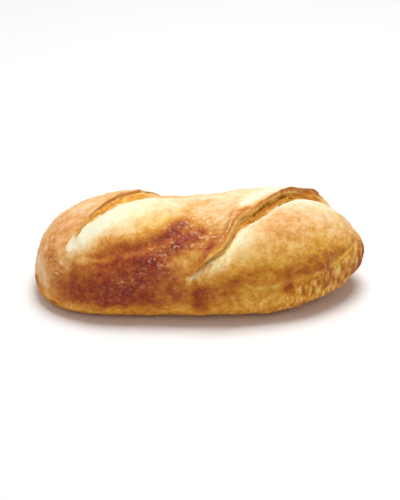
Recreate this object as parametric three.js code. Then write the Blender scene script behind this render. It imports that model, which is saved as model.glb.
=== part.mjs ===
// A crusty bread roll with two slanting cuts that opened in the oven. Below each cut's raised lip lie
// a torn band and a smooth flank that swelled out of the cut.
// Millimetres: +X runs along the roll, -Y is the side that the flanks face and +Z is up. The origin is
// on the surface that the roll stands on, under its middle.

import * as THREE from "three";
import { mergeVertices } from "three/addons/utils/BufferGeometryUtils.js";

// The plain roll before its cuts
const LENGTH = 168;
const WIDTH = 77;
const HEIGHT = 48;
const WIDEST_LEVEL = 17;
const LEFT_TIP_LEVEL = 10;
const RIGHT_TIP_LEVEL = 19;
const UNDERSIDE_SINK = 3.5;
const SIDEWAYS_BEND = 2;
const SADDLE = { x: -8, depth: 2.6, reach: 22 };

// How fully each outline is filled towards the two tips: a larger power keeps it full for longer, and a
// smaller round makes its end blunter
const PLAN = { left: { power: 3.6, round: 0.42 }, right: { power: 2.8, round: 0.58 } };
const CROWN = { left: { power: 4.2, round: 0.5 }, right: { power: 3.1, round: 0.57 } };
const UNDERSIDE = { left: { power: 12, round: 0.42 }, right: { power: 2.7, round: 0.61 } };
const CROWN_SQUARENESS = 2.15;
const UNDERSIDE_SQUARENESS = 2.6;

// The cuts. A turn is an angle round the roll, 0 at the front and 90 degrees on top. Distances across a
// cut are measured round the roll at its full girth, positive down towards the front.
const GIRTH_RADIUS = 33;
const LEFT_CUT = {
  span: { from: -67, to: 4 },
  turn: { from: radians(42), to: radians(125), bend: 3 },
  opening: { from: -64, to: -20, rise: 1, fall: 0.54 },
  lip: { height: 2.3, reach: 13, lean: 2, thickness: 1.2 },
  flake: { x: -31, height: 1.3, width: 2.2 },
  band: { width: 8, depth: 1.2, rise: 1.28, fall: 0.45 },
  flank: { depth: 42, rise: 0.85, fall: 0.65 },
  swell: { height: 2.5, rise: 1.4, fall: 1.6, skew: 0.78 },
};
const RIGHT_CUT = {
  span: { from: -9, to: 80 },
  turn: { from: radians(12.8), to: radians(134.3), bend: 1.46 },
  opening: { from: -8, to: 68, rise: 0.95, fall: 0.61 },
  lip: { height: 7.5, reach: 20, lean: 1.8, thickness: 1.4 },
  flake: { x: 56, height: 1.6, width: 3.5 },
  band: { width: 5, depth: 0.6, rise: 1.4, fall: 1.45 },
  flank: { depth: 60, rise: 1.08, fall: 0.27 },
  swell: { height: 3.8, rise: 1.6, fall: 1, skew: 0.5 },
};
const CUTS = [LEFT_CUT, RIGHT_CUT];
const CUT_START_SOFTNESS = 0.03;

// The right cut isn't even: at this place its line jogs up the roll
const KINK = { x: 15.2, reach: 6.7, height: 6 };

// Lips are ragged: two waves run along their edges, and one flake stands up on each
const RAGGED = [
  { height: 0.3, along: 0.45, phase: 0.4 },
  { height: 0.2, along: 1.1, phase: 1.9 },
];

// Where the skin folds across an open cut: the lip's edge, the foot of that edge, the tuck under the lip,
// the middle of the torn band and its end at the flank
const FOLD = [0, 0.8, 1.8, 4.5, 8];
const BAND_END = FOLD[4];
const EDGE_LEAN = 0.85;
const TUCK = { lean: 0.7, drop: 0.9 };
const BAND_MIDDLE = { share: 0.45, height: 0.28 };
const LEAN_REACH = 5;
const EDGE_REACH = 3;
const SHUT_GAPE = 0.25;
const CLOSING_LENGTH = 9;
const SPREAD_REACH = 14;

// The swollen flank ends in a shallow crease with a low rim
const SWELL_FULLNESS = 0.9;
const ROOT_REACH = 3;
const CREASE = { depth: 0.7, offset: -1.2, width: 3 };
const RIM = { height: 0.4, offset: 3, width: 3 };

// Slow waves that keep the roll uneven, each with its rate along the roll and its count round it
const WAVES = [
  { height: 0.45, along: 0.07, round: 2, phase: 0.6 },
  { height: 0.3, along: -0.12, round: 3, phase: 2.1 },
  { height: 0.2, along: 0.19, round: 5, phase: 4.4 },
];

// The facets: lines run along the roll, closest together where the skin folds, and stations cut across it
const FOLD_LINES = [-10, -5, -2, ...FOLD, 11];
const FRONT_STEP = 4.2;
const BACK_STEP = 7.5;
const FLANK_MARGIN = 8;
const STATION_COUNT = 92;
const TIP_CROWDING = 0.75;
const SLOPE_STEP = { along: 0.4, round: 0.01 };

const CRUST_COLOUR = 0xd69a52;
const CRUST_ROUGHNESS = 0.8;

function radians(degrees) {
  return THREE.MathUtils.degToRad(degrees);
}

// Rises from 0 at both ends of 0..1 to 1 at a peak set by the two powers.
function hump(share, rise, fall) {
  const peak = rise / (rise + fall);
  return (share / peak) ** rise * ((1 - share) / (1 - peak)) ** fall;
}

function shareOf(span, x) {
  return THREE.MathUtils.clamp((x - span.from) / (span.to - span.from), 0, 1);
}

function bell(distance, width) {
  return Math.exp(-((distance / width) ** 2));
}

function fullness(u, outline) {
  const end = u < 0 ? outline.left : outline.right;
  return Math.max(1 - Math.abs(u) ** end.power, 0) ** end.round;
}

// Half width, heights and sideways place of the plain roll's cross-section.
function sectionAt(x) {
  const u = THREE.MathUtils.clamp(x / (LENGTH / 2), -1, 1);
  const tip = THREE.MathUtils.lerp(LEFT_TIP_LEVEL, RIGHT_TIP_LEVEL, (u + 1) / 2);
  const level = THREE.MathUtils.lerp(WIDEST_LEVEL, tip, u * u);
  const height = HEIGHT - SADDLE.depth * bell(x - SADDLE.x, SADDLE.reach);
  return {
    halfWidth: (WIDTH / 2) * fullness(u, PLAN),
    level,
    top: Math.max(tip + (height - tip) * fullness(u, CROWN), level),
    bottom: Math.min(tip - (tip + UNDERSIDE_SINK) * fullness(u, UNDERSIDE), level),
    centre: SIDEWAYS_BEND * u * u,
  };
}

function squared(value, squareness) {
  return Math.sign(value) * Math.abs(value) ** (2 / squareness);
}

function plainPoint(x, angle) {
  const section = sectionAt(x);
  const raised = Math.sin(angle) >= 0;
  const squareness = raised ? CROWN_SQUARENESS : UNDERSIDE_SQUARENESS;
  const reach = raised ? section.top - section.level : section.level - section.bottom;
  return new THREE.Vector3(
    x,
    section.centre - section.halfWidth * squared(Math.cos(angle), squareness),
    section.level + reach * squared(Math.sin(angle), squareness),
  );
}

function plainNormal(x, angle) {
  const limit = LENGTH / 2;
  const ahead = plainPoint(Math.min(x + SLOPE_STEP.along, limit), angle);
  const behind = plainPoint(Math.max(x - SLOPE_STEP.along, -limit), angle);
  const above = plainPoint(x, angle + SLOPE_STEP.round);
  const below = plainPoint(x, angle - SLOPE_STEP.round);
  return ahead.sub(behind).cross(above.sub(below)).normalize();
}

// The angle round the roll that a cut has reached at x. It climbs fast at first and then levels out, the
// sooner the larger its bend.
function turnAt(cut, x) {
  const u = (x - cut.span.from) / (cut.span.to - cut.span.from);
  const along = Math.min((u + Math.hypot(u, CUT_START_SOFTNESS)) / 2, 1);
  const even = THREE.MathUtils.lerp(cut.turn.from, cut.turn.to, 1 - (1 - along) ** cut.turn.bend);
  return cut === RIGHT_CUT ? even + kinkAt(x) / GIRTH_RADIUS : even;
}

function kinkAt(x) {
  const past = (x - KINK.x) / KINK.reach;
  return KINK.height * past * Math.exp(-past * past);
}

function gapeAt(cut, x) {
  return hump(shareOf(cut.opening, x), cut.opening.rise, cut.opening.fall);
}

// Share of its full width that the torn band shows at x. The lip leans over it by the same share.
function bandShareAt(cut, x) {
  return hump(shareOf(cut.opening, x), cut.band.rise, cut.band.fall);
}

function flankDepthAt(cut, x) {
  const share = hump(shareOf(cut.span, x), cut.flank.rise, cut.flank.fall);
  return BAND_END + (cut.flank.depth - BAND_END) * share;
}

// How far the ragged lip's edge stands above its even height.
function raggedness(cut, x) {
  const flake = cut.flake.height * bell(x - cut.flake.x, cut.flake.width);
  return RAGGED.reduce((sum, wave) => sum + wave.height * Math.sin(wave.along * x + wave.phase), flake);
}

// Behind the lip the skin lifts and leans over the cut.
function behindLip(cut, gape, x, distance) {
  const edge = raggedness(cut, x) * Math.exp(distance / EDGE_REACH);
  return {
    across: distance + cut.lip.lean * bandShareAt(cut, x) * Math.exp(distance / LEAN_REACH),
    raise: gape * (cut.lip.height * Math.exp(distance / cut.lip.reach) + edge),
  };
}

// From the lip's edge the surface tucks under the lip and runs down the torn band to the flank.
function acrossBand(cut, gape, x, distance) {
  const { height, thickness } = cut.lip;
  const { depth } = cut.band;
  const lean = cut.lip.lean * bandShareAt(cut, x);
  const width = cut.band.width * bandShareAt(cut, x);
  const across = [lean, lean * EDGE_LEAN, lean * TUCK.lean, width * BAND_MIDDLE.share, width];
  const edge = height + raggedness(cut, x);
  const foot = edge - thickness;
  const raise = [edge, foot, foot - TUCK.drop, height * BAND_MIDDLE.height - depth, -depth];
  const fold = FOLD.findIndex((end, index) => index > 0 && distance <= end);
  const share = (distance - FOLD[fold - 1]) / (FOLD[fold] - FOLD[fold - 1]);
  const open = THREE.MathUtils.lerp(across[fold - 1], across[fold], share);
  return {
    across: THREE.MathUtils.lerp(open, distance, shutAt(cut, gape, x)),
    raise: gape * THREE.MathUtils.lerp(raise[fold - 1], raise[fold], share),
  };
}

// Below the band the flank swells, and ends in the crease and its rim.
function overFlank(cut, gape, x, distance) {
  const past = distance - BAND_END;
  const depth = flankDepthAt(cut, x);
  const fade = hump(shareOf(cut.span, x), cut.swell.rise, cut.swell.fall);
  const share = Math.min(past / Math.max(depth - BAND_END, 1), 1);
  const swell = cut.swell.height * Math.sin(Math.PI * share ** cut.swell.skew) ** SWELL_FULLNESS;
  const crease = CREASE.depth * bell(distance - depth - CREASE.offset, CREASE.width);
  const rim = RIM.height * bell(distance - depth - RIM.offset, RIM.width);
  const spread = (cut.band.width * bandShareAt(cut, x) - BAND_END) * (1 - shutAt(cut, gape, x));
  const root = cut.band.depth * gape * Math.exp(-past / ROOT_REACH);
  return {
    across: distance + spread * Math.exp(-past / SPREAD_REACH),
    raise: fade * (swell - crease + rim) - root,
  };
}

// 1 where a cut hasn't opened, 0 where it gapes enough to fold. It closes gently towards its far end.
function shutAt(cut, gape, x) {
  const closing = (cut.opening.to - x) / CLOSING_LENGTH;
  return 1 - THREE.MathUtils.clamp(Math.min(gape / SHUT_GAPE, closing), 0, 1);
}

function cutProfile(cut, x, distance) {
  const gape = gapeAt(cut, x);
  if (distance <= 0) {
    return behindLip(cut, gape, x, distance);
  }
  if (distance <= BAND_END) {
    return acrossBand(cut, gape, x, distance);
  }
  return overFlank(cut, gape, x, distance);
}

function unevenness(x, angle) {
  const fade = Math.max(1 - (x / (LENGTH / 2)) ** 2, 0);
  return fade * WAVES.reduce(
    (sum, wave) => sum + wave.height * Math.sin(wave.along * x + wave.round * angle + wave.phase),
    0,
  );
}

function distanceFromCut(cut, x, angle) {
  const turn = turnAt(cut, x) - angle;
  return (THREE.MathUtils.euclideanModulo(turn + Math.PI, 2 * Math.PI) - Math.PI) * GIRTH_RADIUS;
}

// The roll's finished skin, cut off flat at the surface that it stands on.
function rollPoint(x, startAngle) {
  let angle = startAngle;
  let raise = unevenness(x, startAngle);
  for (const cut of CUTS) {
    const distance = distanceFromCut(cut, x, startAngle);
    const profile = cutProfile(cut, x, distance);
    angle -= (profile.across - distance) / GIRTH_RADIUS;
    raise += profile.raise;
  }
  const point = plainPoint(x, angle).addScaledVector(plainNormal(x, angle), raise);
  point.z = Math.max(point.z, 0);
  return point;
}

// Lines follow the cuts: they wind round the roll as the two cuts do.
function lineAngle(x, line) {
  return turnAt(LEFT_CUT, x) + turnAt(RIGHT_CUT, x) - RIGHT_CUT.turn.from - line / GIRTH_RADIUS;
}

function evenlyBetween(from, to, step) {
  const count = Math.ceil((to - from) / step);
  return Array.from({ length: count - 1 }, (_, index) => from + ((to - from) * (index + 1)) / count);
}

// Places round the girth, from behind the left cut's lip down the front, under the roll and up its back.
function linesRoundGirth() {
  const rightCut = (LEFT_CUT.turn.to - RIGHT_CUT.turn.from) * GIRTH_RADIUS;
  const left = FOLD_LINES;
  const right = FOLD_LINES.map((line) => line + rightCut);
  const frontEnd = rightCut + RIGHT_CUT.flank.depth + FLANK_MARGIN;
  const back = left[0] + 2 * Math.PI * GIRTH_RADIUS;
  return [
    ...left,
    ...evenlyBetween(left.at(-1), right[0], FRONT_STEP),
    ...right,
    ...evenlyBetween(right.at(-1), frontEnd, FRONT_STEP),
    frontEnd,
    ...evenlyBetween(frontEnd, back, BACK_STEP),
  ];
}

// Places along the roll from its right tip to its left, closer together at the tips.
function stationsAlong() {
  return Array.from({ length: STATION_COUNT + 1 }, (_, index) => {
    const share = 1 - (2 * index) / STATION_COUNT;
    const crowded = Math.sin((share * Math.PI) / 2);
    return (LENGTH / 2) * THREE.MathUtils.lerp(share, crowded, TIP_CROWDING);
  });
}

// A ball whose poles become the two tips, with each of its points moved to the roll's skin.
function rollGeometry() {
  const lines = linesRoundGirth();
  const stations = stationsAlong();
  const geometry = new THREE.SphereGeometry(1, lines.length, STATION_COUNT);
  const position = geometry.getAttribute("position");
  stations.forEach((x, row) => {
    const atTip = row === 0 || row === STATION_COUNT;
    for (let column = 0; column <= lines.length; column += 1) {
      const angle = lineAngle(x, lines[column % lines.length]);
      const point = atTip ? plainPoint(x, 0) : rollPoint(x, angle);
      position.setXYZ(row * (lines.length + 1) + column, ...point);
    }
  });
  geometry.deleteAttribute("normal");
  geometry.deleteAttribute("uv");
  const closed = mergeVertices(geometry);
  closed.computeVertexNormals();
  return closed;
}

const crust = new THREE.MeshStandardMaterial({
  color: CRUST_COLOUR,
  roughness: CRUST_ROUGHNESS,
  metalness: 0,
});
const roll = new THREE.Mesh(rollGeometry(), crust);
roll.name = "roll";

const breadRoll = new THREE.Group();
breadRoll.add(roll);

export default breadRoll;
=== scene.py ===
"""Crusty bread roll: a long flour-dusted roll whose two slanting cuts opened in the oven."""

import math
from typing import NamedTuple

import bmesh
import bpy
import numpy as np
from bpy.props import FloatProperty, FloatVectorProperty, PointerProperty
from mathutils import Color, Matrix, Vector, noise


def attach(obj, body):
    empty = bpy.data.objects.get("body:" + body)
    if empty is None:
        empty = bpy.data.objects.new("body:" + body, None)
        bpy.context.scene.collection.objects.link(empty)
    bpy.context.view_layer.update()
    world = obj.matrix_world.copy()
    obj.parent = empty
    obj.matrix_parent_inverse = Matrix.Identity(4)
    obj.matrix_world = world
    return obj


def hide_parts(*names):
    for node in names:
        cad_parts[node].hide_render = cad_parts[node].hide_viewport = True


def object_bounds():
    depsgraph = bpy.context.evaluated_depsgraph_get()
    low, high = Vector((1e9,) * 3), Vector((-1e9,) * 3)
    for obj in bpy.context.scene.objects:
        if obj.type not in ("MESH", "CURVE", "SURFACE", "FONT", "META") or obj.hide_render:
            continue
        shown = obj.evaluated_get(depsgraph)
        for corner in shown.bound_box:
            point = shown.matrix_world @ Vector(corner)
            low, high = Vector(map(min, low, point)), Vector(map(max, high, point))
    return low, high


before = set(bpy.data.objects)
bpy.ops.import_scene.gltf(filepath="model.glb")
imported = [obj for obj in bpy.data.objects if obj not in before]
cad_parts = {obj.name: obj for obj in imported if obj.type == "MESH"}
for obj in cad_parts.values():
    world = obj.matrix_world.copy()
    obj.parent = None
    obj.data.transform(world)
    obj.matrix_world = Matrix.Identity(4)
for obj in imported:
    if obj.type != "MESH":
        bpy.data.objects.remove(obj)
CAD_LOW, CAD_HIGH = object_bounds()
CAD_SIZE = CAD_HIGH - CAD_LOW

bl_info = {
    "name": "Crusty bread roll",
    "version": (1, 0, 0),
    "blender": (4, 5, 0),
    "location": "View3D > Sidebar > Bread",
    "description": "Makes a crusty roll with two opened cuts, its baked crust and a plain studio stage",
    "category": "Add Mesh",
}

NODE = "roll"
BODY = "root"
MILLIMETRE = 0.001

# The plain roll, in millimetres. Each end shape is a power and a bluntness, left end first.
LENGTH = 168.0
WIDTH = 77.0
HEIGHT = 48.0
WIDEST_LEVEL = 17.0
LEFT_TIP_LEVEL = 10.0
RIGHT_TIP_LEVEL = 19.0
UNDERSIDE_SINK = 3.5
SIDEWAYS_BEND = 2.0
SADDLE_X = -8.0
SADDLE_DEPTH = 2.6
SADDLE_REACH = 22.0
PLAN = ((3.6, 0.42), (2.8, 0.58))
CROWN = ((4.2, 0.5), (3.1, 0.57))
UNDERSIDE = ((12.0, 0.42), (2.7, 0.61))
CROWN_SQUARENESS = 2.15
UNDERSIDE_SQUARENESS = 2.6
GIRTH_RADIUS = 33.0
GIRTH = 2 * math.pi * GIRTH_RADIUS
# Waves of the skin: their height, their turn along and round the roll, and where they start.
WAVES = ((0.45, 0.07, 2.0, 0.6), (0.3, -0.12, 3.0, 2.1), (0.2, 0.19, 5.0, 4.4))


class Cut(NamedTuple):
    """One cut across the roll, with its lip, its torn band and its flank.

    Turns are in degrees. A shape is how steeply a size rises and falls along the cut, and a flake is its
    place, width and height.
    """

    span: tuple
    turn: tuple
    bend: float
    kink_height: float
    opening: tuple
    gape_shape: tuple
    band_shape: tuple
    lip_height: float
    lip_reach: float
    lip_lean: float
    lip_thickness: float
    band_width: float
    band_depth: float
    flank_depth: float
    flank_shape: tuple
    swell_height: float
    swell_shape: tuple
    swell_skew: float
    flake: tuple
    flank_fading: tuple
    crumb_start: tuple
    crumb_spill: float


LEFT_CUT = Cut(
    span=(-67.0, 4.0), turn=(42.0, 125.0), bend=3.0, kink_height=0.0,
    opening=(-64.0, -20.0), gape_shape=(1.0, 0.54), band_shape=(1.28, 0.45),
    lip_height=2.3, lip_reach=13.0, lip_lean=2.0, lip_thickness=1.2, band_width=8.0, band_depth=1.2,
    flank_depth=42.0, flank_shape=(0.85, 0.65),
    swell_height=2.5, swell_shape=(1.4, 1.6), swell_skew=0.78, flake=(-31.0, 2.2, 1.3),
    flank_fading=(0.72, 0.95), crumb_start=(-66.0, -63.0), crumb_spill=0.0,
)
RIGHT_CUT = Cut(
    span=(-9.0, 80.0), turn=(12.8, 134.3), bend=1.46, kink_height=6.0,
    opening=(-8.0, 68.0), gape_shape=(0.95, 0.61), band_shape=(1.4, 1.45),
    lip_height=7.5, lip_reach=20.0, lip_lean=1.8, lip_thickness=1.4, band_width=5.0, band_depth=0.6,
    flank_depth=60.0, flank_shape=(1.08, 0.27),
    swell_height=3.8, swell_shape=(1.6, 1.0), swell_skew=0.5, flake=(56.0, 3.5, 1.6),
    flank_fading=(0.96, 1.0), crumb_start=(-1.0, 6.0), crumb_spill=1.5,
)
CUTS = (LEFT_CUT, RIGHT_CUT)
RIGHT_CUT_LINE = math.radians(LEFT_CUT.turn[1] - RIGHT_CUT.turn[0]) * GIRTH_RADIUS
CUT_START_SOFTNESS = 0.03
KINK_X = 15.2
KINK_REACH = 6.7
# Waves of the ragged lips: their height, their turn along the roll, and where they start.
RAGGED = ((0.3, 0.45, 0.4), (0.2, 1.1, 1.9))
# Distances across a cut at which the torn band folds, from the lip's edge to the flank.
FOLD = (0.0, 0.8, 1.8, 4.5, 8.0)
BAND_END = FOLD[-1]
EDGE_LEAN = 0.85
TUCK_LEAN = 0.7
TUCK_DROP = 0.9
BAND_MIDDLE_SHARE = 0.45
BAND_MIDDLE_HEIGHT = 0.28
LEAN_REACH = 5.0
EDGE_REACH = 3.0
SHUT_GAPE = 0.25
CLOSING_LENGTH = 9.0
SPREAD_REACH = 14.0
SWELL_FULLNESS = 0.9
LEAST_FLANK = 1.0
ROOT_REACH = 3.0
CREASE_DEPTH = 0.7
CREASE_OFFSET = -1.2
CREASE_WIDTH = 3.0
RIM_HEIGHT = 0.4
RIM_OFFSET = 3.0

# The mesh: stations along the roll, and lines round it that run closer together beside each cut.
STATIONS = 330
LINES = 298
CUT_LINE_REACH = (-3.5, 9.5)
CUT_LINE_CROWDING = 2.6
CUT_LINE_EASING = (2.0, 4.0)
SPACING_SAMPLES = 4001
FOLD_SMOOTHING = 0.5
FOLD_SMOOTHING_ROUNDS = 2
FOLD_MASK_LEVEL = 0.02
NORMAL_STEP = 0.4
NORMAL_TURN = 0.01
LEAST_NORMAL = 1e-9


def bell(distance, width):
    return np.exp(-((distance / width) ** 2))


def lerp(first, second, share):
    return first + (second - first) * share


def ease(low, high, value):
    """Rises smoothly from 0 at low to 1 at high."""
    share = np.clip((value - low) / (high - low), 0.0, 1.0)
    return share * share * (3.0 - 2.0 * share)


def between(start, end, value):
    """Rises from 0 to 1 over the start's span and falls back to 0 over the end's."""
    return ease(*start, value) * (1.0 - ease(*end, value))


def share_of(span, x):
    return np.clip((x - span[0]) / (span[1] - span[0]), 0.0, 1.0)


def hump(share, shape):
    """Rises from 0 to 1 and falls back to 0, as steeply at each end as the shape's two powers say."""
    rise, fall = shape
    peak = rise / (rise + fall)
    return (share / peak) ** rise * ((1.0 - share) / (1.0 - peak)) ** fall


def fullness(along, outline):
    """Share of a size that is left at a place along the roll, from -1, the left tip, to 1, the right one."""
    left, right = outline
    power = np.where(along < 0.0, left[0], right[0])
    blunt = np.where(along < 0.0, left[1], right[1])
    return np.maximum(1.0 - np.abs(along) ** power, 0.0) ** blunt


def squared(value, squareness):
    return np.sign(value) * np.abs(value) ** (2.0 / squareness)


def wrapped(angle):
    return (angle + np.pi) % (2 * np.pi) - np.pi


def plain_point(x, angle):
    """Point of the roll before it is cut. Angle 0 faces the front and a quarter turn the top."""
    along = np.clip(x / (LENGTH / 2), -1.0, 1.0)
    tip = lerp(LEFT_TIP_LEVEL, RIGHT_TIP_LEVEL, (along + 1.0) / 2)
    level = lerp(WIDEST_LEVEL, tip, along * along)
    height = HEIGHT - SADDLE_DEPTH * bell(x - SADDLE_X, SADDLE_REACH)
    top = np.maximum(tip + (height - tip) * fullness(along, CROWN), level)
    bottom = np.minimum(tip - (tip + UNDERSIDE_SINK) * fullness(along, UNDERSIDE), level)
    raised = np.sin(angle) >= 0.0
    squareness = np.where(raised, CROWN_SQUARENESS, UNDERSIDE_SQUARENESS)
    reach = np.where(raised, top - level, level - bottom)
    half_width = WIDTH / 2 * fullness(along, PLAN)
    y = SIDEWAYS_BEND * along * along - half_width * squared(np.cos(angle), squareness)
    z = level + reach * squared(np.sin(angle), squareness)
    return np.stack([x, y, z], axis=-1)


def plain_normal(x, angle):
    limit = LENGTH / 2
    ahead = plain_point(np.minimum(x + NORMAL_STEP, limit), angle)
    along = ahead - plain_point(np.maximum(x - NORMAL_STEP, -limit), angle)
    around = plain_point(x, angle + NORMAL_TURN) - plain_point(x, angle - NORMAL_TURN)
    normal = np.cross(along, around)
    return normal / (np.linalg.norm(normal, axis=-1, keepdims=True) + LEAST_NORMAL)


def turn_at(cut, x):
    share = (x - cut.span[0]) / (cut.span[1] - cut.span[0])
    along = np.minimum((share + np.hypot(share, CUT_START_SOFTNESS)) / 2, 1.0)
    even = np.radians(lerp(cut.turn[0], cut.turn[1], 1.0 - (1.0 - along) ** cut.bend))
    past = (x - KINK_X) / KINK_REACH
    return even + cut.kink_height * past * np.exp(-past * past) / GIRTH_RADIUS


def gape_at(cut, x):
    return hump(share_of(cut.opening, x), cut.gape_shape)


def band_share_at(cut, x):
    return hump(share_of(cut.opening, x), cut.band_shape)


def flank_depth_at(cut, x):
    return BAND_END + (cut.flank_depth - BAND_END) * hump(share_of(cut.span, x), cut.flank_shape)


def shut_at(cut, gape, x):
    """1 where a cut hasn't opened, 0 where it gapes enough to fold; it closes gently towards its far end."""
    closing = (cut.opening[1] - x) / CLOSING_LENGTH
    return 1.0 - np.clip(np.minimum(gape / SHUT_GAPE, closing), 0.0, 1.0)


def raggedness(cut, x):
    place, width, height = cut.flake
    flake = height * bell(x - place, width)
    return flake + sum(height * np.sin(along * x + phase) for height, along, phase in RAGGED)


def behind_lip(cut, gape, x, distance):
    distance = np.minimum(distance, 0.0)
    edge = raggedness(cut, x) * np.exp(distance / EDGE_REACH)
    across = distance + cut.lip_lean * band_share_at(cut, x) * np.exp(distance / LEAN_REACH)
    raised = gape * (cut.lip_height * np.exp(distance / cut.lip_reach) + edge)
    return across, raised


def along_fold(distance, stops):
    """Value between the stops that it takes at each fold."""
    value = stops[0]
    for fold in range(1, len(FOLD)):
        share = share_of((FOLD[fold - 1], FOLD[fold]), distance)
        value = np.where(distance > FOLD[fold - 1], lerp(stops[fold - 1], stops[fold], share), value)
    return value


def across_band(cut, gape, x, distance):
    lean, width = (size * band_share_at(cut, x) for size in (cut.lip_lean, cut.band_width))
    stops = (lean, lean * EDGE_LEAN, lean * TUCK_LEAN, width * BAND_MIDDLE_SHARE, width)
    edge = cut.lip_height + raggedness(cut, x)
    foot = edge - cut.lip_thickness
    middle = cut.lip_height * BAND_MIDDLE_HEIGHT - cut.band_depth
    heights = (edge, foot, foot - TUCK_DROP, middle, -cut.band_depth)
    across = along_fold(distance, stops)
    return lerp(across, distance, shut_at(cut, gape, x)), gape * along_fold(distance, heights)


def over_flank(cut, gape, x, distance):
    past = np.maximum(distance - BAND_END, 0.0)
    depth = flank_depth_at(cut, x)
    fade = hump(share_of(cut.span, x), cut.swell_shape)
    share = np.minimum(past / np.maximum(depth - BAND_END, LEAST_FLANK), 1.0)
    swell = cut.swell_height * np.sin(np.pi * share ** cut.swell_skew) ** SWELL_FULLNESS
    crease = CREASE_DEPTH * bell(distance - depth - CREASE_OFFSET, CREASE_WIDTH)
    rim = RIM_HEIGHT * bell(distance - depth - RIM_OFFSET, CREASE_WIDTH)
    spread = (cut.band_width * band_share_at(cut, x) - BAND_END) * (1.0 - shut_at(cut, gape, x))
    root = cut.band_depth * gape * np.exp(-past / ROOT_REACH)
    across = distance + spread * np.exp(-past / SPREAD_REACH)
    return across, fade * (swell - crease + rim) - root


def cut_profile(cut, x, distance):
    """Distance across the cut that a point moves to, and how far it rises, by its distance at first."""
    gape = gape_at(cut, x)
    behind, lifted = behind_lip(cut, gape, x, distance)
    inside, torn = across_band(cut, gape, x, distance)
    below, swollen = over_flank(cut, gape, x, distance)
    zones = [distance <= 0.0, distance <= BAND_END]
    return np.select(zones, [behind, inside], below), np.select(zones, [lifted, torn], swollen)


def distance_from_cut(cut, x, angle):
    return wrapped(turn_at(cut, x) - angle) * GIRTH_RADIUS


def unevenness(x, angle):
    fade = np.maximum(1.0 - (x / (LENGTH / 2)) ** 2, 0.0)
    waves = (height * np.sin(along * x + count * angle + phase) for height, along, count, phase in WAVES)
    return fade * sum(waves)


def roll_point(x, start_angle):
    """Point of the cut roll's skin."""
    angle = start_angle.copy()
    raised = unevenness(x, start_angle)
    for cut in CUTS:
        distance = distance_from_cut(cut, x, start_angle)
        across, lift = cut_profile(cut, x, distance)
        angle -= (across - distance) / GIRTH_RADIUS
        raised = raised + lift
    point = plain_point(x, angle) + raised[..., None] * plain_normal(x, angle)
    point[..., 2] = np.maximum(point[..., 2], 0.0)
    return point


def station_at(share):
    """Place along the roll, so that stations are evenly spaced along its side from tip to tip."""
    x = LENGTH / 2 * np.sin(np.linspace(-np.pi / 2, np.pi / 2, SPACING_SAMPLES))
    side = WIDTH / 2 * fullness(x / (LENGTH / 2), PLAN)
    run = np.concatenate([[0.0], np.cumsum(np.hypot(np.diff(x), np.diff(side)))])
    return np.interp(share, run / run[-1], x)


def line_at(share):
    """Line round the roll, in millimetres below the left cut, crowded beside both cuts."""
    line = np.linspace(0.0, GIRTH, SPACING_SAMPLES)
    low, high = CUT_LINE_REACH
    rise, fall = CUT_LINE_EASING
    crowding = np.ones_like(line)
    for cut_line in (0.0, RIGHT_CUT_LINE, GIRTH):
        crowding += CUT_LINE_CROWDING * between((low - rise, low), (high, high + fall), line - cut_line)
    run = np.concatenate([[0.0], np.cumsum((crowding[1:] + crowding[:-1]) / 2)])
    return np.interp(share, run / run[-1], line)


def line_angle(x, line):
    """Angle of a line at each station: the lines turn with both cuts, so that they run along the lips."""
    turn = turn_at(LEFT_CUT, x) + turn_at(RIGHT_CUT, x)
    return turn - math.radians(RIGHT_CUT.turn[0]) - line / GIRTH_RADIUS


class Zone(NamedTuple):
    """Where each point lies about one cut: distances in millimetres, its share down the flank and masks.

    Brim and crumb are the lip and the band as they are coloured: the crumb's colour creeps over the lip.
    """

    distance: np.ndarray
    share: np.ndarray
    past: np.ndarray
    lip: np.ndarray
    brim: np.ndarray
    band: np.ndarray
    crumb: np.ndarray
    flank: np.ndarray
    spill: np.ndarray


class Skin(NamedTuple):
    """The skin's points in millimetres, with their places along and round the roll and about both cuts.

    Drift is how far outlines wander there: along the roll, round it, and at a frayed edge.
    """

    x: np.ndarray
    angle: np.ndarray
    point: np.ndarray
    drift: np.ndarray
    left: Zone
    right: Zone


# Where the masks about a cut rise and fall, in millimetres or as shares.
OPENING_GAPE = (0.2, 1.0)
SPAN_START = (0.0, 0.03)
LIP_TOP = (-1.6, -0.4)
LIP_FOOT = (1.2, 2.2)
BAND_TOP = (0.5, 1.2)
BAND_FOOT = (-1.8, 0.6)
FLANK_TIP_START = -2.0
FLANK_TIP_LENGTH = (-2.0, 10.0)
FLANK_TOP = (-1.4, 0.6)
FLANK_FOOT = (0.94, 1.03)
# Below 0, the frayed foot's pale colour creeps up over the right cut's shaded crevice. This is partly the
# real foot and partly painted light.
FOOT_CREEP_AND_PAINTED_LIGHT = -4.5
SPILL_START = (-4.0, 12.0)
SPILL_END = (24.0, 42.0)
TEAR_CREEP = 2.4
TEAR_CREEP_START = (-8.0, -2.0)
TEAR_CREEP_END = (18.0, 30.0)
# How far outlines wander: size and reach of each layer of noise, its seeds, and the share that each takes.
DRIFTS = ((12.0, 5.0), (4.0, 1.8), (1.7, 1.6))
FRAY_SIZES = ((3.0, 2.0), (1.3, 1.8))
ALONG_SEED = 20
AROUND_SEED = 30
FRAY_SEED = 40
SEED_STEP = 17.31
BAND_DRIFT = 0.45
SEAM_DRIFT = 0.25
FRAY = 1.3
FRAY_END = (30.0, 46.0)


def flank_start_at(cut, x):
    """Distance from the cut at which the flank's colour starts: close to the cut where it begins to open."""
    return lerp(FLANK_TIP_START, BAND_END, ease(*FLANK_TIP_LENGTH, x - cut.opening[0]))


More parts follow.
